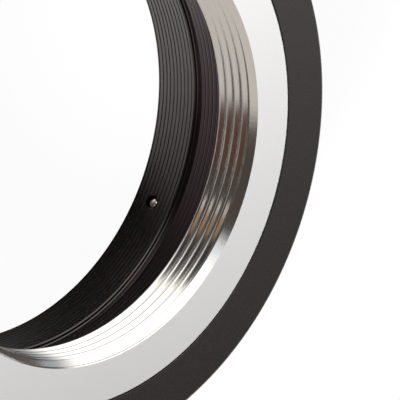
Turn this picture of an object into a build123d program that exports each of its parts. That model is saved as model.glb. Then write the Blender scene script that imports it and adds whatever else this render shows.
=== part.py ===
from build123d import *
import math
import os

# Lens mount adapter: carries a screw-thread lens on a bayonet camera body.
# Millimetres. +Z is the optical axis, towards the lens. The adapter stands on the rear end
# of its bayonet tube, with the index dot towards +Y.

# Heights along the optical axis, from the rear end
tube_tip = 0.45              # bayonet tube that stands out behind the claws
claw_thickness = 1.25
claw_gap = 1.9               # room between the claws and the camera seat
plate_thickness = 1.45       # flange plate of the bayonet mount
adapter_thickness = 10.8     # camera seat to lens seat: a 28.8 register less an 18.0 register
thread_ring_height = 4.65
bevel_height = 3.7           # bevel from the front face down to the grip
front_step = 0.08            # the silver lens seat stands this far proud of the black face

# Radii and widths of the thread ring and of the body ring around it
thread_diameter = 39.0       # nominal lens thread
thread_pitch = 1.0
lead_in_relief = 0.1         # lead-in opens this far past the thread's outer radius
thread_ring_wall = 4.05      # thread's outer radius to the ring's outside
ring_seat_width = 3.1        # shoulder in the body ring that the thread ring sits on
front_face_width = 4.3       # flat black face around the thread ring

# Radii and widths of the bayonet mount
tube_bore_radius = 20.5
tube_wall = 1.4
claw_height = 1.05           # how far the claws stand out from the tube
seat_relief_width = 0.45     # coned relief of the plate, from the tube to just past the claws
seat_relief_depth = 0.3
seat_width = 6.6             # flat camera seat outside the relief
grip_overhang = 1.0          # the body's grip stands out past the plate

# Relief groove in the bore, where the body ring meets the bayonet mount
joint_relief_depth = 0.7
joint_relief_height = 0.9

# Bayonet claws, stop pin, lock hole and index dot
claw_count = 3
claw_span = 54.0             # degrees of arc for each claw
index_angle = 90.0
stop_pin_lead = 33.0         # degrees from the index claw's centre to the stop pin
stop_pin_drop = 1.22         # stop pin's axis behind the camera seat
stop_pin_radius = 0.68
stop_pin_reach = 0.2         # stop pin's outer end inside the claws' reach
stop_tip_radius = 0.5
stop_tip_length = 0.5
stop_dome_height = 0.25
stop_tip_recess = 0.2        # tip below the wall of the bore
lock_hole_radius = 1.25
dot_radius = 1.0
dot_depth = 0.4

# Fasteners
mount_screw_count = 4
mount_screw_radius = 1.0
mount_screw_length = 5.0
screw_head_radius = 1.5
screw_head_recess = 0.06     # screw heads lie this far below the camera seat
recess_width = 0.36          # arms of the cross recess
recess_span = 1.7
recess_depth = 0.45
tap_runout = 0.6             # tapped hole beyond the screw's end
grub_count = 3
grub_radius = 1.0
grub_drop = 2.1              # grub screws' axis below the lens seat
grub_recess = 0.35           # grub screws' outer ends below the bevel
grub_socket_radius = 0.52
grub_socket_depth = 1.1

# Clearance and edge break
fit_clearance = 0.05         # radial gap between pieces that fit in each other
edge_break = 0.2             # where the silver lens seat meets the black face

# Worked out from the sizes above
z_claw_top = tube_tip + claw_thickness
z_seat = z_claw_top + claw_gap
z_joint = z_seat + plate_thickness
z_front = z_seat + adapter_thickness
z_face = z_front - front_step
z_ring_seat = z_front - thread_ring_height
z_grip_top = z_face - bevel_height
z_grub = z_front - grub_drop
z_stop_pin = z_seat - stop_pin_drop
thread_radius = thread_diameter / 2
thread_minor_radius = thread_radius - 5 / 8 * math.sqrt(3) / 2 * thread_pitch
thread_ring_radius = thread_radius + thread_ring_wall
pocket_radius = thread_ring_radius + fit_clearance
body_bore_radius = pocket_radius - ring_seat_width
front_radius = pocket_radius + front_face_width
tube_radius = tube_bore_radius + tube_wall
claw_radius = tube_radius + claw_height
seat_inner_radius = claw_radius + seat_relief_width
plate_radius = seat_inner_radius + seat_width
grip_radius = plate_radius + grip_overhang
screw_circle = (seat_inner_radius + plate_radius) / 2
z_screw_head = z_seat + screw_head_recess
z_screw_end = z_screw_head + mount_screw_length
stop_pin_angle = index_angle + stop_pin_lead
stop_pin_shoulder = tube_bore_radius + stop_tip_recess + stop_tip_length
bevel_slope = (grip_radius - front_radius) / bevel_height

FROM_BASE = (Align.CENTER, Align.CENTER, Align.MIN)


def turned(points, arc=360):
    """Solid of revolution about Z from (radius, height) points."""
    outline = Polyline([(radius, 0, height) for radius, height in points], close=True)
    return revolve(make_face(outline), Axis.Z, revolution_arc=arc)


def radial(angle, height):
    """Location whose local Z runs outwards from the optical axis."""
    return Pos(0, 0, height) * Rot(0, 0, angle) * Rot(0, 90, 0)


def bevel_radius(height):
    """Radius of the body's bevel at a height."""
    return grip_radius - (height - z_grip_top) * bevel_slope


def screw_places():
    return PolarLocations(screw_circle, mount_screw_count, index_angle + 180 / mount_screw_count)


def grub_angles():
    return [index_angle + (i + 0.5) * 360 / grub_count for i in range(grub_count)]


def on_bevel(sink):
    """Location at the index dot's place, its Z normal to the bevel, sunk below the surface."""
    height = z_grip_top + bevel_height / 2
    tilt = 90 - math.degrees(math.atan(bevel_slope))
    surface = Pos(bevel_radius(height), 0, height) * Rot(0, tilt, 0)
    return Rot(0, 0, index_angle) * surface * Pos(0, 0, -sink)


def body_ring():
    """Black outer ring: pocket for the thread ring, stepped bore, bevel and plain grip."""
    relief_radius = body_bore_radius + joint_relief_depth
    z_relief = z_joint + joint_relief_height
    ring = turned(
        [
            (relief_radius, z_joint),
            (relief_radius, z_relief),
            (body_bore_radius, z_relief),
            (body_bore_radius, z_ring_seat),
            (pocket_radius, z_ring_seat),
            (pocket_radius, z_face),
            (front_radius, z_face),
            (grip_radius, z_grip_top),
            (grip_radius, z_joint),
        ]
    )
    tap_depth = z_screw_end + tap_runout - z_joint
    tap = Pos(0, 0, z_joint) * Cylinder(
        mount_screw_radius + fit_clearance, tap_depth, align=FROM_BASE
    )
    taps = [place * tap for place in screw_places()]
    grub_hole = Cylinder(grub_radius + fit_clearance, grip_radius, align=FROM_BASE)
    grub_holes = [radial(angle, z_grub) * grub_hole for angle in grub_angles()]
    dimple = on_bevel(dot_depth) * Cylinder(
        dot_radius + fit_clearance, 2 * dot_depth, align=FROM_BASE
    )
    return ring - taps - grub_holes - dimple


def thread_ring():
    """Silver ring with the lens thread, its bore at the thread's inner radius."""
    lead_radius = thread_radius + lead_in_relief
    lead = lead_radius - thread_minor_radius
    return turned(
        [
            (thread_minor_radius, z_ring_seat),
            (thread_minor_radius, z_front - lead),
            (lead_radius, z_front),
            (thread_ring_radius - edge_break, z_front),
            (thread_ring_radius, z_front - edge_break),
            (thread_ring_radius, z_ring_seat),
        ]
    )


def bayonet_mount():
    """Plated flange plate, tube and claws, with its screw, lock and pin holes."""
    mount = turned(
        [
            (tube_bore_radius, 0),
            (tube_bore_radius, z_joint),
            (plate_radius, z_joint),
            (plate_radius, z_seat),
            (seat_inner_radius, z_seat),
            (tube_radius, z_seat + seat_relief_depth),
            (tube_radius, 0),
        ]
    )
    claw = turned(
        [
            (tube_radius - tube_wall / 2, tube_tip),
            (claw_radius, tube_tip),
            (claw_radius, z_claw_top),
            (tube_radius - tube_wall / 2, z_claw_top),
        ],
        arc=claw_span,
    )
    for i in range(claw_count):
        mount += Rot(0, 0, index_angle + i * 360 / claw_count - claw_span / 2) * claw
    hole_radius = mount_screw_radius + fit_clearance
    sink_radius = screw_head_radius + screw_head_recess + fit_clearance
    sink_depth = sink_radius - hole_radius
    screw_hole = turned(
        [
            (0, z_seat),
            (sink_radius, z_seat),
            (hole_radius, z_seat + sink_depth),
            (hole_radius, z_joint),
            (0, z_joint),
        ]
    )
    screw_holes = [place * screw_hole for place in screw_places()]
    lock_hole = (
        Rot(0, 0, index_angle - 90) * Pos(screw_circle, 0, z_seat)
        * Cylinder(lock_hole_radius, plate_thickness, align=FROM_BASE)
    )
    pin_hole = radial(stop_pin_angle, z_stop_pin) * Cylinder(
        stop_pin_radius + fit_clearance, claw_radius, align=FROM_BASE
    )
    return mount - screw_holes - lock_hole - pin_hole


def stop_pin():
    """Radial pin: a domed inner tip in the bore's hole, and the rotation stop outside the tube."""
    tip_end = tube_bore_radius + stop_tip_recess
    outer_end = claw_radius - stop_pin_reach
    dome_edge = (stop_tip_radius, 0, tip_end + stop_dome_height)
    outline = Polyline(
        [
            dome_edge,
            (stop_tip_radius, 0, stop_pin_shoulder),
            (stop_pin_radius, 0, stop_pin_shoulder),
            (stop_pin_radius, 0, outer_end),
            (0, 0, outer_end),
            (0, 0, tip_end),
        ]
    )
    dome = TangentArc([(0, 0, tip_end), dome_edge], tangent=(1, 0, 0))
    return radial(stop_pin_angle, z_stop_pin) * revolve(make_face(outline + dome), Axis.Z)


def mount_screws():
    """Countersunk screws with cross recesses, up through the plate into the body ring."""
    head_height = screw_head_radius - mount_screw_radius
    screw = turned(
        [
            (0, z_screw_head),
            (screw_head_radius, z_screw_head),
            (mount_screw_radius, z_screw_head + head_height),
            (mount_screw_radius, z_screw_end),
            (0, z_screw_end),
        ]
    )
    arm = Pos(0, 0, z_screw_head) * Box(recess_span, recess_width, recess_depth, align=FROM_BASE)
    screw -= [arm, Rot(0, 0, 90) * arm]
    return Compound(children=[place * screw for place in screw_places()])


def grub_screws():
    """Set screws in the bevel, their flat points against the thread ring's outside."""
    inner_end = thread_ring_radius + fit_clearance
    outer_end = bevel_radius(z_grub + grub_radius) - grub_recess
    grub = Pos(0, 0, inner_end) * Cylinder(grub_radius, outer_end - inner_end, align=FROM_BASE)
    socket = extrude(RegularPolygon(grub_socket_radius, 6), grub_socket_depth)
    grub -= Pos(0, 0, outer_end - grub_socket_depth) * socket
    return Compound(children=[radial(angle, z_grub) * grub for angle in grub_angles()])


def index_dot():
    """Enamel dot in its dimple, its face a little below the bevel."""
    return on_bevel(dot_depth) * Cylinder(dot_radius, dot_depth - fit_clearance, align=FROM_BASE)


os.makedirs("parts", exist_ok=True)
for piece in (
    body_ring,
    thread_ring,
    bayonet_mount,
    stop_pin,
    mount_screws,
    grub_screws,
    index_dot,
):
    export_step(piece(), f"parts/{piece.__name__}.step")
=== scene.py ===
import math

import bpy
from mathutils import Matrix, Vector


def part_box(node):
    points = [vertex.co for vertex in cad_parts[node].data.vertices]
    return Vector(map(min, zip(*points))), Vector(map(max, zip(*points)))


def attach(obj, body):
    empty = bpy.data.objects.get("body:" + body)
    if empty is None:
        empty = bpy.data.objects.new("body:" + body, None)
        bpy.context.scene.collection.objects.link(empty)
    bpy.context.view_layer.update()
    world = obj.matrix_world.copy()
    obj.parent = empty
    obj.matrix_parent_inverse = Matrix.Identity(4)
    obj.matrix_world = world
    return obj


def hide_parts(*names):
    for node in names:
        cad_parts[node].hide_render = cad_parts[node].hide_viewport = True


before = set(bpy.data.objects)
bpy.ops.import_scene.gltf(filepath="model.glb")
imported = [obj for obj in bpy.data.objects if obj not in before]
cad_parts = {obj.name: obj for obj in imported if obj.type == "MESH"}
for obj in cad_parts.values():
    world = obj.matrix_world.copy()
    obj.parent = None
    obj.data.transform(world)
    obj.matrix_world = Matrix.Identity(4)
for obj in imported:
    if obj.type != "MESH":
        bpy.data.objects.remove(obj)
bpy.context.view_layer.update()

# Lens mount adapter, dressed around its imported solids.
# Sizes are in millimetres and angles in degrees; +Z is the optical axis, towards the lens.
MM = 0.001
WELD = 1e-7                    # metres; vertices nearer than this become one
ROUND_STEPS = 240              # flats in a full turn
HOLE_STEPS = 48
DOME_STEPS = 12
SMOOTH_BELOW = 10.5            # edges flatter than this are shaded smooth
FIT_CLEARANCE = 0.05           # radial gap between pieces that fit in each other
EDGE = 0.1                     # small edge breaks

body_low, body_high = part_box("body_ring")
lens_low, lens_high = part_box("thread_ring")
mount_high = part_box("bayonet_mount")[1]

# Heights along the axis
Z_JOINT = body_low.z / MM
Z_FACE = body_high.z / MM
Z_RING_SEAT = lens_low.z / MM
Z_FRONT = lens_high.z / MM
Z_SEAT = 3.6
Z_CLAW_LOW = 0.45
Z_CLAW_TOP = 1.7
Z_GRIP_TOP = 10.62
Z_GRUB = 12.3
Z_STOP_PIN = 2.38

# Radii of the body, the thread ring and the bayonet mount
GRIP_RADIUS = body_high.x / MM
FRONT_RADIUS = 27.9
BEVEL_SLOPE = (GRIP_RADIUS - FRONT_RADIUS) / (Z_FACE - Z_GRIP_TOP)
RING_RADIUS = lens_high.x / MM
POCKET_RADIUS = RING_RADIUS + FIT_CLEARANCE
BORE_RADIUS = 20.5
JOINT_RELIEF_RADIUS = 21.2
JOINT_RELIEF_HEIGHT = 0.9
LEDGE_RADIUS = 20.82           # low step in the ledge at the joint
LEDGE_STEP = 0.08
PLATE_RADIUS = mount_high.x / MM
SEAT_INNER_RADIUS = 23.4
SEAT_RELIEF_DEPTH = 0.3
TUBE_RADIUS = 21.9
CLAW_RADIUS = 22.95
CLAW_SPAN = 54.0
CLAW_STEPS = ROUND_STEPS // 6  # flats in one claw
CLAW_ANGLES = (90.0, 210.0, 330.0)

# Lens thread: crest middles stand at THREAD_PHASE + a whole number of pitches at angle 0
PITCH = 1.0
THREAD_MINOR = 18.959
THREAD_MAJOR = 19.5
CREST_WIDTH = 0.04
CREST_ROUND = 0.05             # radius of the crest's edges
FLANK_ROUND = 1.2              # radius that the flank is worn to, next to the crest
SHOULDER_LEAN = 47.0           # lean of the flank's normal where the two rounds meet
FLANK_LEAN = 55.0
FLANK_HOLD = 0.015             # narrow strip that keeps the flank's shading flat
THREAD_PHASE = 7.57
THREAD_TURNS = 7
ROUND_PARTS = 6                # flats in each round of the profile
LEAD_IN_RADIUS = 19.6
RING_EDGE_BREAK = 0.2

# Anti-reflection grooves in the bore
TUBE_GROOVE_PITCH = 0.484
TUBE_GROOVE_FIRST = 0.242
TUBE_GROOVES = 10
BODY_GROOVE_PITCH = 0.5
BODY_GROOVE_FIRST = 6.5
BODY_GROOVES = 7
GROOVE_MOUTH = 0.18
GROOVE_FLOOR = 0.03
TUBE_GROOVE_DEPTH = 0.043
BODY_GROOVE_DEPTH = 0.02

# Holes and pins
SCREW_CIRCLE = 26.7
SCREW_ANGLES = (45.0, 135.0, 225.0, 315.0)
Z_SCREW_HEAD = 3.66
Z_SCREW_END = 8.66
SCREW_RADIUS = 1.0
SCREW_HEAD_RADIUS = 1.5
CROSS_SPAN = 1.7
CROSS_WIDTH = 0.36
CROSS_DEPTH = 0.45
CROSS_TAPER = 0.3              # share by which the recess opens and narrows
SCREW_HOLE_RADIUS = SCREW_RADIUS + FIT_CLEARANCE
SINK_RADIUS = 1.61
TAP_TOP = 9.26
GRUB_ANGLES = (30.0, 150.0, 270.0)
GRUB_RADIUS = 1.0
GRUB_HOLE_RADIUS = GRUB_RADIUS + FIT_CLEARANCE
GRUB_POINT = 23.6
GRUB_END = 28.4
GRUB_SOCKET_RADIUS = 0.52
GRUB_SOCKET_DEPTH = 1.1
LOCK_HOLE_RADIUS = 1.25
DOT_RADIUS = 1.0
DOT_HOLE_RADIUS = DOT_RADIUS + FIT_CLEARANCE
DOT_DEPTH = 0.4
DOT_HEIGHT = 0.35
DOT_DOME = 0.1
DOT_ANGLE = 90.0
STOP_PIN_ANGLE = 123.0
STOP_PIN_RADIUS = 0.68
STOP_PIN_HOLE_RADIUS = STOP_PIN_RADIUS + FIT_CLEARANCE
STOP_PIN_OUTER = 22.75
STOP_TIP_RADIUS = 0.5
STOP_TIP_START = 20.52
STOP_SHOULDER = 21.2
STOP_DOME_HEIGHT = 0.25


def toward(azimuth, elevation):
    """Unit direction for an angle round the axis and an angle above the table."""
    a = math.radians(azimuth)
    e = math.radians(elevation)
    return Vector((math.cos(e) * math.cos(a), math.cos(e) * math.sin(a), math.sin(e)))


# Shaping with Blender's own tools

def pick(piece):
    """Makes a piece the only selected object, and the active one."""
    bpy.ops.object.select_all(action="DESELECT")
    piece.select_set(True)
    bpy.context.view_layer.objects.active = piece


def start_vertex(name, radius, height):
    """One selected vertex in the XZ plane, in edit mode."""
    bpy.ops.object.select_all(action="DESELECT")
    bpy.ops.mesh.primitive_plane_add(size=MM)
    piece = bpy.context.active_object
    piece.name = name
    piece.data.name = name
    bpy.ops.object.mode_set(mode="EDIT")
    bpy.ops.mesh.select_all(action="SELECT")
    bpy.ops.mesh.merge(type="CENTER")
    bpy.ops.transform.translate(value=(radius * MM, 0, height * MM))
    return piece


def draw_outline(points, closed):
    """Extrudes the selected vertex from point to point of a (radius, height) outline."""
    radius, height = points[0]
    corners = points[1:] + points[:1] if closed else points[1:]
    for next_radius, next_height in corners:
        step = ((next_radius - radius) * MM, 0, (next_height - height) * MM)
        bpy.ops.mesh.extrude_region_move(TRANSFORM_OT_translate={"value": step})
        radius, height = next_radius, next_height
    bpy.ops.mesh.select_all(action="SELECT")
    bpy.ops.mesh.remove_doubles(threshold=WELD)


def close_mesh():
    """Merges doubles and turns the faces outwards, then leaves edit mode."""
    bpy.ops.mesh.select_all(action="SELECT")
    bpy.ops.mesh.remove_doubles(threshold=WELD)
    bpy.ops.mesh.normals_make_consistent(inside=False)
    bpy.ops.object.mode_set(mode="OBJECT")


def turned(name, points, closed=True, arc=360.0, steps=ROUND_STEPS):
    """A lathe-turned solid; an open outline starts and ends on the axis."""
    piece = start_vertex(name, *points[0])
    draw_outline(points, closed)
    bpy.ops.mesh.spin(steps=steps, angle=math.radians(arc), center=(0, 0, 0), axis=(0, 0, 1))
    bpy.ops.mesh.select_all(action="SELECT")
    bpy.ops.mesh.remove_doubles(threshold=WELD)
    if arc < 360.0:
        bpy.ops.mesh.select_all(action="DESELECT")
        bpy.ops.mesh.select_non_manifold()
        bpy.ops.mesh.fill_holes(sides=0)
    close_mesh()
    return piece


def put(piece, location=(0, 0, 0), turn=(0, 0, 0)):
    """Moves a piece and applies the move to its mesh."""
    pick(piece)
    piece.location = [value * MM for value in location]
    piece.rotation_euler = [math.radians(value) for value in turn]
    bpy.ops.object.transform_apply(location=True, rotation=True, scale=True)
    return piece


def copy_of(piece):
    """A second piece with a mesh of its own."""
    twin = piece.copy()
    twin.data = piece.data.copy()
    bpy.context.scene.collection.objects.link(twin)
    return twin


def around_axis(piece, angles):
    """Turns a piece into copies, one at each angle about the optical axis, as one object."""
    name = piece.name
    copies = [put(copy_of(piece), turn=(0, 0, angle)) for angle in angles]
    bpy.data.meshes.remove(piece.data)
    bpy.ops.object.select_all(action="DESELECT")
    for twin in copies:
        twin.select_set(True)
    joined = copies[0]
    bpy.context.view_layer.objects.active = joined
    bpy.ops.object.join()
    joined.name = name
    joined.data.name = name
    return joined


def combine(piece, tool, operation):
    """Joins the tool to the piece or cuts it out, and deletes the tool."""
    pick(piece)
    modifier = piece.modifiers.new("tool", "BOOLEAN")
    modifier.operation = operation
    modifier.solver = "EXACT"
    modifier.object = tool
    bpy.ops.object.modifier_apply(modifier=modifier.name)
    bpy.data.objects.remove(tool)
    return piece


def drill(radius, depth, location, turn=(0, 0, 0), sides=HOLE_STEPS):
    """A straight drill of the given depth, its middle at the location."""
    bpy.ops.object.select_all(action="DESELECT")
    bpy.ops.mesh.primitive_cylinder_add(vertices=sides, radius=radius * MM, depth=depth * MM)
    return put(bpy.context.active_object, location, turn)


def smooth(piece):
    """Smooth shading on the round walls, sharp edges elsewhere."""
    pick(piece)
    bpy.ops.object.shade_smooth_by_angle(angle=math.radians(SMOOTH_BELOW))


def grooved_wall(first, pitch, count, depth):
    """Outline of the grooves in a bore wall, from the lowest to the highest."""
    points = []
    for i in range(count):
        middle = first + i * pitch
        points += [
            (BORE_RADIUS, middle - GROOVE_MOUTH / 2),
            (BORE_RADIUS + depth, middle - GROOVE_FLOOR / 2),
            (BORE_RADIUS + depth, middle + GROOVE_FLOOR / 2),
            (BORE_RADIUS, middle + GROOVE_MOUTH / 2),
        ]
    return points


def domed_tip(radius, height):
    """Outline of a dome, from its top on the axis to its edge, as (radius, drop) points."""
    ball = (radius ** 2 + height ** 2) / (2 * height)
    reach = math.asin(radius / ball)
    angles = [reach * i / DOME_STEPS for i in range(DOME_STEPS + 1)]
    return [(ball * math.sin(angle), ball * (1 - math.cos(angle))) for angle in angles]


def on_bevel(piece):
    """Stands a piece on the middle of the bevel, at the index dot's angle."""
    middle = ((FRONT_RADIUS + GRIP_RADIUS) / 2, 0, (Z_FACE + Z_GRIP_TOP) / 2)
    put(piece, middle, (0, 90 - math.degrees(math.atan(BEVEL_SLOPE)), 0))
    return put(piece, turn=(0, 0, DOT_ANGLE))


# Pieces

def black_body():
    """Outer ring: grooved bore, pocket for the thread ring, flat face, bevel and grip."""
    z_relief = Z_JOINT + JOINT_RELIEF_HEIGHT
    outline = [
        (JOINT_RELIEF_RADIUS, Z_JOINT),
        (JOINT_RELIEF_RADIUS, z_relief),
        (BORE_RADIUS + EDGE / 2, z_relief),
        (BORE_RADIUS, z_relief + EDGE / 2),
        *grooved_wall(BODY_GROOVE_FIRST, BODY_GROOVE_PITCH, BODY_GROOVES, BODY_GROOVE_DEPTH),
        (BORE_RADIUS, Z_RING_SEAT),
        (POCKET_RADIUS, Z_RING_SEAT),
        (POCKET_RADIUS, Z_FACE - EDGE / 2),
        (POCKET_RADIUS + EDGE / 2, Z_FACE),
        (FRONT_RADIUS - EDGE, Z_FACE),
        (FRONT_RADIUS + EDGE * BEVEL_SLOPE, Z_FACE - EDGE),
        (GRIP_RADIUS - EDGE * BEVEL_SLOPE, Z_GRIP_TOP + EDGE),
        (GRIP_RADIUS, Z_GRIP_TOP - EDGE),
        (GRIP_RADIUS, Z_JOINT + EDGE),
        (GRIP_RADIUS - EDGE, Z_JOINT),
    ]
    body = turned("black_body", outline)
    tap = drill(SCREW_HOLE_RADIUS, 2 * (TAP_TOP - Z_JOINT), (SCREW_CIRCLE, 0, Z_JOINT))
    combine(body, around_axis(tap, SCREW_ANGLES), "DIFFERENCE")
    grub_hole = drill(
        GRUB_HOLE_RADIUS, 2 * (GRIP_RADIUS - POCKET_RADIUS), (GRIP_RADIUS, 0, Z_GRUB), (0, 90, 0)
    )
    combine(body, around_axis(grub_hole, GRUB_ANGLES), "DIFFERENCE")
    dimple = on_bevel(drill(DOT_HOLE_RADIUS, 2 * DOT_DEPTH, (0, 0, 0)))
    combine(body, dimple, "DIFFERENCE")
    return body


def thread_tap():
    """Male thread that cuts the lens thread, longer than the ring at both ends."""
    shoulder = math.radians(SHOULDER_LEAN)
    flank = math.radians(FLANK_LEAN)
    # Half a pitch as (radius, rise), from the middle of the crest to the root
    half = [(THREAD_MINOR, 0), (THREAD_MINOR, CREST_WIDTH / 2)]
    for start, end, bend in ((0.0, shoulder, CREST_ROUND), (shoulder, flank, FLANK_ROUND)):
        radius, rise = half[-1]
        for i in range(1, ROUND_PARTS + 1):
            lean = start + (end - start) * i / ROUND_PARTS
            half.append(
                (
                    radius + bend * (math.cos(start) - math.cos(lean)),
                    rise + bend * (math.sin(lean) - math.sin(start)),
                )
            )
    radius, rise = half[-1]
    half.append((radius + FLANK_HOLD * math.sin(flank), rise + FLANK_HOLD * math.cos(flank)))
    half.append((THREAD_MAJOR, rise + (THREAD_MAJOR - radius) / math.tan(flank)))
    profile = [(radius, THREAD_PHASE + rise) for radius, rise in half]
    profile += [(radius, THREAD_PHASE + PITCH - rise) for radius, rise in reversed(half)]
    tap = start_vertex("thread_tap", *profile[0])
    draw_outline(profile, closed=False)
    bpy.ops.object.mode_set(mode="OBJECT")
    helix = tap.modifiers.new("helix", "SCREW")
    helix.axis = "Z"
    helix.angle = math.radians(360.0)
    helix.screw_offset = PITCH * MM
    helix.iterations = THREAD_TURNS
    helix.steps = ROUND_STEPS
    helix.render_steps = ROUND_STEPS
    helix.use_merge_vertices = True
    helix.merge_threshold = WELD
    bpy.ops.object.modifier_apply(modifier=helix.name)
    bpy.ops.object.mode_set(mode="EDIT")
    bpy.ops.mesh.select_all(action="SELECT")
    bpy.ops.mesh.remove_doubles(threshold=WELD)
    bpy.ops.mesh.bisect(
        plane_co=(0, 0, (Z_RING_SEAT - EDGE) * MM), plane_no=(0, 0, 1),
        use_fill=True, clear_inner=True, threshold=WELD,
    )
    bpy.ops.mesh.select_all(action="SELECT")
    bpy.ops.mesh.bisect(
        plane_co=(0, 0, (Z_FRONT + EDGE) * MM), plane_no=(0, 0, 1),
        use_fill=True, clear_outer=True, threshold=WELD,
    )
    close_mesh()
    return tap


def lens_thread_ring():
    """Silver ring: turned blank, tapped, then opened with the lead-in."""
    stock_radius = THREAD_MINOR - PITCH / 2
    ring = turned(
        "lens_thread_ring",
        [
            (stock_radius, Z_RING_SEAT),
            (stock_radius, Z_FRONT),
            (RING_RADIUS - RING_EDGE_BREAK, Z_FRONT),
            (RING_RADIUS, Z_FRONT - RING_EDGE_BREAK),
            (RING_RADIUS, Z_RING_SEAT),
        ],
    )
    combine(ring, thread_tap(), "DIFFERENCE")
    lead_in = turned(
        "lead_in",
        [
            (0, Z_FRONT - 2 * PITCH),
            (LEAD_IN_RADIUS - 2 * PITCH, Z_FRONT - 2 * PITCH),
            (LEAD_IN_RADIUS + PITCH, Z_FRONT + PITCH),
            (0, Z_FRONT + PITCH),
        ],
        closed=False,
    )
    return combine(ring, lead_in, "DIFFERENCE")


def plated_bayonet():
    """Flange plate, grooved tube and three claws, with the screw, lock and pin holes."""
    outline = [
        (BORE_RADIUS, EDGE / 2),
        *grooved_wall(TUBE_GROOVE_FIRST, TUBE_GROOVE_PITCH, TUBE_GROOVES, TUBE_GROOVE_DEPTH),
        (BORE_RADIUS, Z_JOINT - LEDGE_STEP - EDGE),
        (BORE_RADIUS + EDGE, Z_JOINT - LEDGE_STEP),
        (LEDGE_RADIUS, Z_JOINT - LEDGE_STEP),
        (LEDGE_RADIUS + LEDGE_STEP, Z_JOINT),
        (PLATE_RADIUS - EDGE, Z_JOINT),
        (PLATE_RADIUS, Z_JOINT - EDGE),
        (PLATE_RADIUS, Z_SEAT + EDGE),
        (PLATE_RADIUS - EDGE, Z_SEAT),
        (SEAT_INNER_RADIUS, Z_SEAT),
        (TUBE_RADIUS, Z_SEAT + SEAT_RELIEF_DEPTH),
        (TUBE_RADIUS, EDGE),
        (TUBE_RADIUS - EDGE, 0),
        (BORE_RADIUS + EDGE / 2, 0),
    ]
    mount = turned("plated_bayonet", outline)
    root = (BORE_RADIUS + TUBE_RADIUS) / 2
    claw = turned(
        "claw",
        [
            (root, Z_CLAW_LOW),
            (CLAW_RADIUS - EDGE, Z_CLAW_LOW),
            (CLAW_RADIUS, Z_CLAW_LOW + EDGE),
            (CLAW_RADIUS, Z_CLAW_TOP - EDGE),
            (CLAW_RADIUS - EDGE, Z_CLAW_TOP),
            (root, Z_CLAW_TOP),
        ],
        arc=CLAW_SPAN,
        steps=CLAW_STEPS,
    )
    put(claw, turn=(0, 0, CLAW_SPAN / 2))
    combine(mount, around_axis(claw, CLAW_ANGLES), "UNION")
    sink = turned(
        "screw_hole",
        [
            (0, Z_SEAT - EDGE),
            (SINK_RADIUS + EDGE, Z_SEAT - EDGE),
            (SCREW_HOLE_RADIUS, Z_SEAT + SINK_RADIUS - SCREW_HOLE_RADIUS),
            (SCREW_HOLE_RADIUS, Z_JOINT + EDGE),
            (0, Z_JOINT + EDGE),
        ],
        closed=False,
        steps=HOLE_STEPS,
    )
    put(sink, (SCREW_CIRCLE, 0, 0))
    combine(mount, around_axis(sink, SCREW_ANGLES), "DIFFERENCE")
    lock_hole = drill(
        LOCK_HOLE_RADIUS, 2 * (Z_JOINT - Z_SEAT), (SCREW_CIRCLE, 0, (Z_JOINT + Z_SEAT) / 2)
    )
    combine(mount, lock_hole, "DIFFERENCE")
    pin_hole = drill(STOP_PIN_HOLE_RADIUS, TUBE_RADIUS, (TUBE_RADIUS, 0, Z_STOP_PIN), (0, 90, 0))
    combine(mount, put(pin_hole, turn=(0, 0, STOP_PIN_ANGLE)), "DIFFERENCE")
    return mount


def polished_stop_pin():
    """Radial pin with a domed tip, its foot outside the tube."""
    dome = domed_tip(STOP_TIP_RADIUS, STOP_DOME_HEIGHT)
    outline = [(radius, STOP_TIP_START + drop) for radius, drop in dome] + [
        (STOP_TIP_RADIUS, STOP_SHOULDER),
        (STOP_PIN_RADIUS, STOP_SHOULDER),
        (STOP_PIN_RADIUS, STOP_PIN_OUTER - EDGE),
        (STOP_PIN_RADIUS - EDGE, STOP_PIN_OUTER),
        (0, STOP_PIN_OUTER),
    ]
    pin = turned("polished_stop_pin", outline, closed=False, steps=HOLE_STEPS)
    return put(pin, (0, 0, Z_STOP_PIN), (0, 90, STOP_PIN_ANGLE))


def cross_recess_screws():
    """Countersunk screws with tapered cross recesses, up through the plate into the body."""
    neck = Z_SCREW_HEAD + SCREW_HEAD_RADIUS - SCREW_RADIUS
    outline = [
        (0, Z_SCREW_HEAD),
        (SCREW_HEAD_RADIUS - EDGE, Z_SCREW_HEAD),
        (SCREW_HEAD_RADIUS - EDGE / 2, Z_SCREW_HEAD + EDGE / 2),
        (SCREW_RADIUS, neck),
        (SCREW_RADIUS, Z_SCREW_END - 2 * EDGE),
        (SCREW_RADIUS - 2 * EDGE, Z_SCREW_END),
        (0, Z_SCREW_END),
    ]
    screw = turned("cross_recess_screws", outline, closed=False, steps=HOLE_STEPS)
    # A four-sided cone, turned by 45 degrees and stretched, is an arm of the cross
    corner = MM / math.sqrt(2)
    for turn in (0, 90):
        bpy.ops.object.select_all(action="DESELECT")
        bpy.ops.mesh.primitive_cone_add(
            vertices=4,
            radius1=corner * (1 + CROSS_TAPER),
            radius2=corner * (1 - CROSS_TAPER),
            depth=2 * CROSS_DEPTH * MM,
        )
        arm = put(bpy.context.active_object, turn=(0, 0, 45))
        bpy.ops.object.mode_set(mode="EDIT")
        bpy.ops.mesh.select_all(action="SELECT")
        bpy.ops.transform.resize(value=(CROSS_SPAN, CROSS_WIDTH, 1))
        bpy.ops.object.mode_set(mode="OBJECT")
        combine(screw, put(arm, (0, 0, Z_SCREW_HEAD), (0, 0, turn)), "DIFFERENCE")
    return around_axis(put(screw, (SCREW_CIRCLE, 0, 0)), SCREW_ANGLES)


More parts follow.
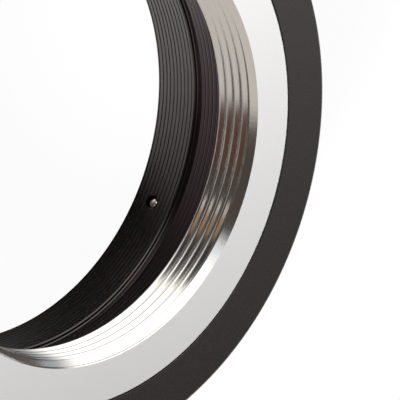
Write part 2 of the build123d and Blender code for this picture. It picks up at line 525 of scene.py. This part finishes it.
def socket_grub_screws():
    """Set screws with hexagon sockets, their flat points against the thread ring."""
    outline = [
        (0, GRUB_POINT),
        (GRUB_RADIUS - 3 * EDGE, GRUB_POINT),
        (GRUB_RADIUS, GRUB_POINT + 3 * EDGE),
        (GRUB_RADIUS, GRUB_END - EDGE),
        (GRUB_RADIUS - EDGE, GRUB_END),
        (0, GRUB_END),
    ]
    grub = turned("socket_grub_screws", outline, closed=False, steps=HOLE_STEPS)
    socket = drill(GRUB_SOCKET_RADIUS, 2 * GRUB_SOCKET_DEPTH, (0, 0, GRUB_END), sides=6)
    combine(grub, socket, "DIFFERENCE")
    return around_axis(put(grub, (0, 0, Z_GRUB), (0, 90, 0)), GRUB_ANGLES)


def enamel_dot():
    """Drop of enamel that fills the dimple, with a low dome."""
    dome = domed_tip(DOT_RADIUS, DOT_DOME)
    outline = [(0, 0), (DOT_RADIUS - EDGE, 0), (DOT_RADIUS, EDGE)]
    outline += [(radius, DOT_HEIGHT - drop) for radius, drop in reversed(dome)]
    dot = turned("enamel_dot", outline, closed=False, steps=HOLE_STEPS)
    return on_bevel(put(dot, (0, 0, -DOT_DEPTH)))


# Finishes

BRUSH_TURN = 0.25              # quarter turn of the streaks against the lathe marks
LATHE_DETAIL = 3.0
GRAIN_DETAIL = 4.0
DARK_BELOW = 0.3               # noise levels between which dark blends into light
LIGHT_ABOVE = 0.7
RELIEF_DEPTH = 0.01
PLAIN_GLOSS = (1.0, 1.0, 1.0)
WARM_GLOSS = (1.0, 0.88, 0.86)
BORE_GLOSS = (1.0, 0.65, 0.66)


def new_finish(name):
    """A node material, with its nodes and links."""
    finish = bpy.data.materials.new(name)
    finish.use_nodes = True
    return finish, finish.node_tree.nodes, finish.node_tree.links


def lathe_marks(nodes, links, scale):
    """Noise that runs round the optical axis, as the tool of a lathe leaves it."""
    place = nodes.new("ShaderNodeTexCoord")
    across = nodes.new("ShaderNodeVectorMath")
    across.operation = "MULTIPLY"
    across.inputs[1].default_value = (1, 1, 0)
    radius = nodes.new("ShaderNodeVectorMath")
    radius.operation = "LENGTH"
    split = nodes.new("ShaderNodeSeparateXYZ")
    join = nodes.new("ShaderNodeCombineXYZ")
    noise = nodes.new("ShaderNodeTexNoise")
    noise.inputs["Scale"].default_value = scale
    noise.inputs["Detail"].default_value = LATHE_DETAIL
    links.new(place.outputs["Object"], across.inputs[0])
    links.new(across.outputs["Vector"], radius.inputs[0])
    links.new(place.outputs["Object"], split.inputs[0])
    links.new(radius.outputs["Value"], join.inputs["X"])
    links.new(split.outputs["Z"], join.inputs["Z"])
    links.new(join.outputs["Vector"], noise.inputs["Vector"])
    return noise


def blasted(nodes, links, scale):
    """Even noise, as blasting leaves it."""
    place = nodes.new("ShaderNodeTexCoord")
    noise = nodes.new("ShaderNodeTexNoise")
    noise.inputs["Scale"].default_value = scale
    noise.inputs["Detail"].default_value = GRAIN_DETAIL
    links.new(place.outputs["Object"], noise.inputs["Vector"])
    return noise


def finish_of(
    name, noise_kind, scale, dark, light, roughness, bump, metallic,
    specular=0.5, brushed=0.0, tint=PLAIN_GLOSS,
):
    """Colour, roughness and relief from one noise; a brushed finish has streaked reflections."""
    finish, nodes, links = new_finish(name)
    surface = nodes["Principled BSDF"]
    surface.inputs["Metallic"].default_value = metallic
    surface.inputs["Specular IOR Level"].default_value = specular
    surface.inputs["Specular Tint"].default_value = (*tint, 1)
    if brushed:
        surface.inputs["Anisotropic"].default_value = brushed
        surface.inputs["Anisotropic Rotation"].default_value = BRUSH_TURN
        around = nodes.new("ShaderNodeTangent")
        around.direction_type = "RADIAL"
        around.axis = "Z"
        links.new(around.outputs["Tangent"], surface.inputs["Tangent"])
    noise = noise_kind(nodes, links, scale)
    ramp = nodes.new("ShaderNodeValToRGB")
    ramp.color_ramp.elements[0].position = DARK_BELOW
    ramp.color_ramp.elements[0].color = (*dark, 1)
    ramp.color_ramp.elements[1].position = LIGHT_ABOVE
    ramp.color_ramp.elements[1].color = (*light, 1)
    spread = nodes.new("ShaderNodeMapRange")
    spread.inputs["To Min"].default_value = roughness[0]
    spread.inputs["To Max"].default_value = roughness[1]
    relief = nodes.new("ShaderNodeBump")
    relief.inputs["Strength"].default_value = bump
    relief.inputs["Distance"].default_value = RELIEF_DEPTH * MM
    links.new(noise.outputs["Fac"], ramp.inputs["Fac"])
    links.new(ramp.outputs["Color"], surface.inputs["Base Color"])
    links.new(noise.outputs["Fac"], spread.inputs["Value"])
    links.new(spread.outputs["Result"], surface.inputs["Roughness"])
    links.new(noise.outputs["Fac"], relief.inputs["Height"])
    links.new(relief.outputs["Normal"], surface.inputs["Normal"])
    return finish


black_anodise = finish_of(
    "black_anodise", blasted, scale=5000,
    dark=(0.0068, 0.0058, 0.0056), light=(0.0092, 0.0079, 0.0076),
    roughness=(0.25, 0.29), bump=0.02, metallic=0.0, tint=WARM_GLOSS,
)
# The two bore finishes: the bores' own matte black, made several times darker than the anodised
# face as painted shade inside the bores.
bore_black_and_shade = finish_of(
    "bore_black_and_shade", lathe_marks, scale=9000,
    dark=(0.0012, 0.001, 0.0009), light=(0.0022, 0.0019, 0.0018),
    roughness=(0.18, 0.24), bump=0.05, metallic=0.0, tint=BORE_GLOSS,
)
tube_black_and_shade = finish_of(
    "tube_black_and_shade", lathe_marks, scale=9000,
    dark=(0.0012, 0.001, 0.0009), light=(0.0022, 0.0019, 0.0018),
    roughness=(0.18, 0.24), bump=0.05, metallic=0.0, specular=1.0, tint=WARM_GLOSS,
)
satin_silver = finish_of(
    "satin_silver", blasted, scale=7000,
    dark=(0.86, 0.86, 0.858), light=(0.885, 0.885, 0.883),
    roughness=(0.35, 0.39), bump=0.02, metallic=1.0,
)
polished_thread = finish_of(
    "polished_thread", lathe_marks, scale=12000,
    dark=(0.80, 0.79, 0.775), light=(0.86, 0.85, 0.835),
    roughness=(0.12, 0.16), bump=0.02, metallic=1.0, brushed=0.5,
)
bayonet_plating = finish_of(
    "bayonet_plating", lathe_marks, scale=8000,
    dark=(0.66, 0.66, 0.65), light=(0.76, 0.755, 0.745),
    roughness=(0.20, 0.30), bump=0.25, metallic=1.0,
)
pin_steel = finish_of(
    "pin_steel", blasted, scale=9000,
    dark=(0.82, 0.72, 0.65), light=(0.90, 0.81, 0.74),
    roughness=(0.16, 0.24), bump=0.1, metallic=1.0,
)
screw_steel = finish_of(
    "screw_steel", blasted, scale=8000,
    dark=(0.52, 0.52, 0.51), light=(0.64, 0.635, 0.625),
    roughness=(0.24, 0.34), bump=0.2, metallic=1.0,
)
blackened_steel = finish_of(
    "blackened_steel", blasted, scale=8000,
    dark=(0.03, 0.03, 0.032), light=(0.06, 0.06, 0.063),
    roughness=(0.32, 0.44), bump=0.2, metallic=1.0,
)
index_enamel = finish_of(
    "index_enamel", blasted, scale=1500,
    dark=(0.55, 0.022, 0.018), light=(0.66, 0.034, 0.027),
    roughness=(0.14, 0.22), bump=0.1, metallic=0.0,
)


def lay_finish(piece, *finishes, inner=None):
    """Puts finishes on a piece; faces that pass the inner test take the second one."""
    piece.data.materials.clear()
    for finish in finishes:
        piece.data.materials.append(finish)
    for face in piece.data.polygons:
        face.material_index = 1 if inner and inner(face.center / MM) else 0


def in_thread(spot):
    """Polished faces of the thread ring: the thread and its lead-in."""
    return spot.xy.length < LEAD_IN_RADIUS and spot.z < Z_FRONT - WELD / MM


def in_bore(spot):
    """Blackened faces of the bayonet mount, darkened further with painted shade: its bore, the
    ledge and the pin hole's inner end.
    """
    pin_side = toward(STOP_PIN_ANGLE, 0)
    if spot.xy.dot(pin_side.xy) > BORE_RADIUS and spot.xy.length < TUBE_RADIUS - EDGE:
        across = spot.xy - pin_side.xy * spot.xy.dot(pin_side.xy)
        if math.hypot(across.length, spot.z - Z_STOP_PIN) < STOP_PIN_HOLE_RADIUS + EDGE:
            return True
    if spot.z > Z_JOINT - EDGE:
        return spot.xy.length < JOINT_RELIEF_RADIUS
    return spot.xy.length < BORE_RADIUS + TUBE_GROOVE_DEPTH + EDGE and spot.z > EDGE / 4


def in_body_bore(spot):
    """Faces of the body ring that take the bore black with painted shade: its grooved bore and
    the relief at the joint.
    """
    return spot.xy.length < JOINT_RELIEF_RADIUS + EDGE


def dress(piece, node):
    """Shades a piece and puts it in the place of its CAD node."""
    smooth(piece)
    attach(piece, "root")
    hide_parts(node)


body = black_body()
lay_finish(body, black_anodise, bore_black_and_shade, inner=in_body_bore)
dress(body, "body_ring")

thread_ring = lens_thread_ring()
lay_finish(thread_ring, satin_silver, polished_thread, inner=in_thread)
dress(thread_ring, "thread_ring")

bayonet = plated_bayonet()
lay_finish(bayonet, bayonet_plating, tube_black_and_shade, inner=in_bore)
dress(bayonet, "bayonet_mount")

stop_pin = polished_stop_pin()
lay_finish(stop_pin, pin_steel)
dress(stop_pin, "stop_pin")

screws = cross_recess_screws()
lay_finish(screws, screw_steel)
dress(screws, "mount_screws")

grubs = socket_grub_screws()
lay_finish(grubs, blackened_steel)
dress(grubs, "grub_screws")

dot = enamel_dot()
lay_finish(dot, index_enamel)
dress(dot, "index_dot")


# Floor, light and camera, with lengths in metres
FLOOR_GAP = 0.02 * MM
FLOOR_SIZE = 6
FLOOR_COLOUR = (0.85, 0.85, 0.85)
FLOOR_ROUGHNESS = 0.9
WHITE = (1, 1, 1)
WHITE_TO_CAMERA = 0.96         # share of plain white that the camera sees
WHITE_TO_MIRRORS = 0.02        # share of it that metal mirrors


def pale_floor():
    """White table top; it shows white to the camera and keeps a faint shadow."""
    bpy.ops.object.select_all(action="DESELECT")
    bpy.ops.mesh.primitive_plane_add(size=FLOOR_SIZE, location=(0, 0, -FLOOR_GAP))
    floor = bpy.context.active_object
    floor.name = "table_top"
    finish, nodes, links = new_finish("white_table")
    surface = nodes["Principled BSDF"]
    surface.inputs["Base Color"].default_value = (*FLOOR_COLOUR, 1)
    surface.inputs["Roughness"].default_value = FLOOR_ROUGHNESS
    surface.inputs["Specular IOR Level"].default_value = 0.0
    glow = nodes.new("ShaderNodeEmission")
    glow.inputs["Color"].default_value = (*WHITE, 1)
    glow.inputs["Strength"].default_value = 1.0
    path = nodes.new("ShaderNodeLightPath")
    seen = nodes.new("ShaderNodeMath")
    seen.operation = "MULTIPLY"
    seen.inputs[1].default_value = WHITE_TO_CAMERA
    mirrored = nodes.new("ShaderNodeMath")
    mirrored.operation = "MAXIMUM"
    weak = nodes.new("ShaderNodeMath")
    weak.operation = "MULTIPLY"
    weak.inputs[1].default_value = WHITE_TO_MIRRORS
    share = nodes.new("ShaderNodeMath")
    share.operation = "ADD"
    mix = nodes.new("ShaderNodeMixShader")
    links.new(path.outputs["Is Camera Ray"], seen.inputs[0])
    links.new(path.outputs["Is Glossy Ray"], mirrored.inputs[0])
    links.new(path.outputs["Is Transmission Ray"], mirrored.inputs[1])
    links.new(mirrored.outputs[0], weak.inputs[0])
    links.new(seen.outputs[0], share.inputs[0])
    links.new(weak.outputs[0], share.inputs[1])
    links.new(share.outputs[0], mix.inputs["Fac"])
    links.new(surface.outputs[0], mix.inputs[1])
    links.new(glow.outputs[0], mix.inputs[2])
    links.new(mix.outputs[0], nodes["Material Output"].inputs["Surface"])
    floor.data.materials.append(finish)


# Room that the metal mirrors: soft patches with a direction, an inner and an outer radius in
# degrees and a radiance, each over the ones before it
ROOM_BASE = (0.085, 0.076, 0.07)
ROOM_PATCHES = (
    (toward(33, 57.5), 44, 47, (0.6, 0.556, 0.51)),
    (toward(179, 54.6), 27.5, 30, (2.31, 2.31, 2.31)),
    (toward(-86, 38), 6, 16, (0.95, 0.98, 1.0)),
    (toward(197, 26.5), 14, 18, (0.346, 0.369, 0.393)),
    (toward(-129, 27.4), 32, 42, (1.46, 1.42, 1.36)),
    (toward(-93, 64), 9.5, 15, (0.02, 0.018, 0.015)),
    (toward(-37.8, 56.1), 17, 27.5, (0.07, 0.055, 0.047)),
    (toward(-14, 61), 6, 13, (0.1, 0.044, 0.03)),
    (toward(-61, 64), 1.2, 3.4, (0.9, 0.85, 0.8)),
    (toward(-73, 63.5), 2, 5, (0.42, 0.25, 0.125)),
)
ROOM_FILL = (0.06, 0.06, 0.06)


def lay_over(nodes, links, below, colour, share):
    """Mixes a plain colour over the colour below it."""
    mix = nodes.new("ShaderNodeMix")
    mix.data_type = "RGBA"
    mix.inputs["B"].default_value = (*colour, 1)
    links.new(share, mix.inputs["Factor"])
    links.new(below, mix.inputs["A"])
    return mix.outputs["Result"]


def studio_room():
    """World: metal mirrors the patches, matte faces get an even fill, the camera sees white."""
    world = bpy.data.worlds.new("studio_room")
    world.use_nodes = True
    bpy.context.scene.world = world
    nodes = world.node_tree.nodes
    links = world.node_tree.links
    direction = nodes.new("ShaderNodeTexCoord")
    base = nodes.new("ShaderNodeRGB")
    base.outputs["Color"].default_value = (*ROOM_BASE, 1)
    colour = base.outputs["Color"]
    for axis, inner, outer, radiance in ROOM_PATCHES:
        facing = nodes.new("ShaderNodeVectorMath")
        facing.operation = "DOT_PRODUCT"
        facing.inputs[1].default_value = axis
        links.new(direction.outputs["Generated"], facing.inputs[0])
        edge = nodes.new("ShaderNodeMapRange")
        edge.interpolation_type = "SMOOTHSTEP"
        edge.inputs["From Min"].default_value = math.cos(math.radians(outer))
        edge.inputs["From Max"].default_value = math.cos(math.radians(inner))
        links.new(facing.outputs["Value"], edge.inputs["Value"])
        colour = lay_over(nodes, links, colour, radiance, edge.outputs["Result"])
    path = nodes.new("ShaderNodeLightPath")
    colour = lay_over(nodes, links, colour, ROOM_FILL, path.outputs["Is Diffuse Ray"])
    colour = lay_over(nodes, links, colour, WHITE, path.outputs["Is Camera Ray"])
    links.new(colour, nodes["Background"].inputs["Color"])


def softbox(name, azimuth, elevation, distance, size, power):
    """Square lamp that faces the origin and shows in no reflection."""
    bpy.ops.object.select_all(action="DESELECT")
    bpy.ops.object.light_add(type="AREA", location=toward(azimuth, elevation) * distance)
    lamp = bpy.context.active_object
    lamp.name = name
    lamp.rotation_euler = toward(azimuth, elevation).to_track_quat("Z", "Y").to_euler()
    lamp.data.size = size
    lamp.data.energy = power
    lamp.visible_glossy = False
    lamp.visible_camera = False


CAMERA_PLACE = (0.1378, -0.1532, 0.2327)
CAMERA_RIGHT = (-0.6641, 0.3116, 0.6797)
CAMERA_BACK = (0.4710, -0.5316, 0.7039)
CAMERA_LENS = 311              # focal length in millimetres, for the sensor below
CAMERA_SENSOR = 36


def photo_camera():
    """Camera of the photograph: close view over the lens side, rolled."""
    right = Vector(CAMERA_RIGHT).normalized()
    back = Vector(CAMERA_BACK).normalized()
    right = (right - back * right.dot(back)).normalized()
    up = back.cross(right)
    bpy.ops.object.select_all(action="DESELECT")
    bpy.ops.object.camera_add()
    camera = bpy.context.active_object
    camera.name = "photo_camera"
    turn = Matrix((right, up, back)).transposed().to_4x4()
    camera.matrix_world = Matrix.Translation(CAMERA_PLACE) @ turn
    camera.data.sensor_width = CAMERA_SENSOR
    camera.data.lens = CAMERA_LENS
    camera.data.clip_start = 0.01
    camera.data.clip_end = 20
    bpy.context.scene.camera = camera


pale_floor()
studio_room()
softbox("key_softbox", azimuth=4, elevation=28.5, distance=0.6, size=0.12, power=10.0)
photo_camera()
bpy.context.scene.view_settings.view_transform = "Standard"
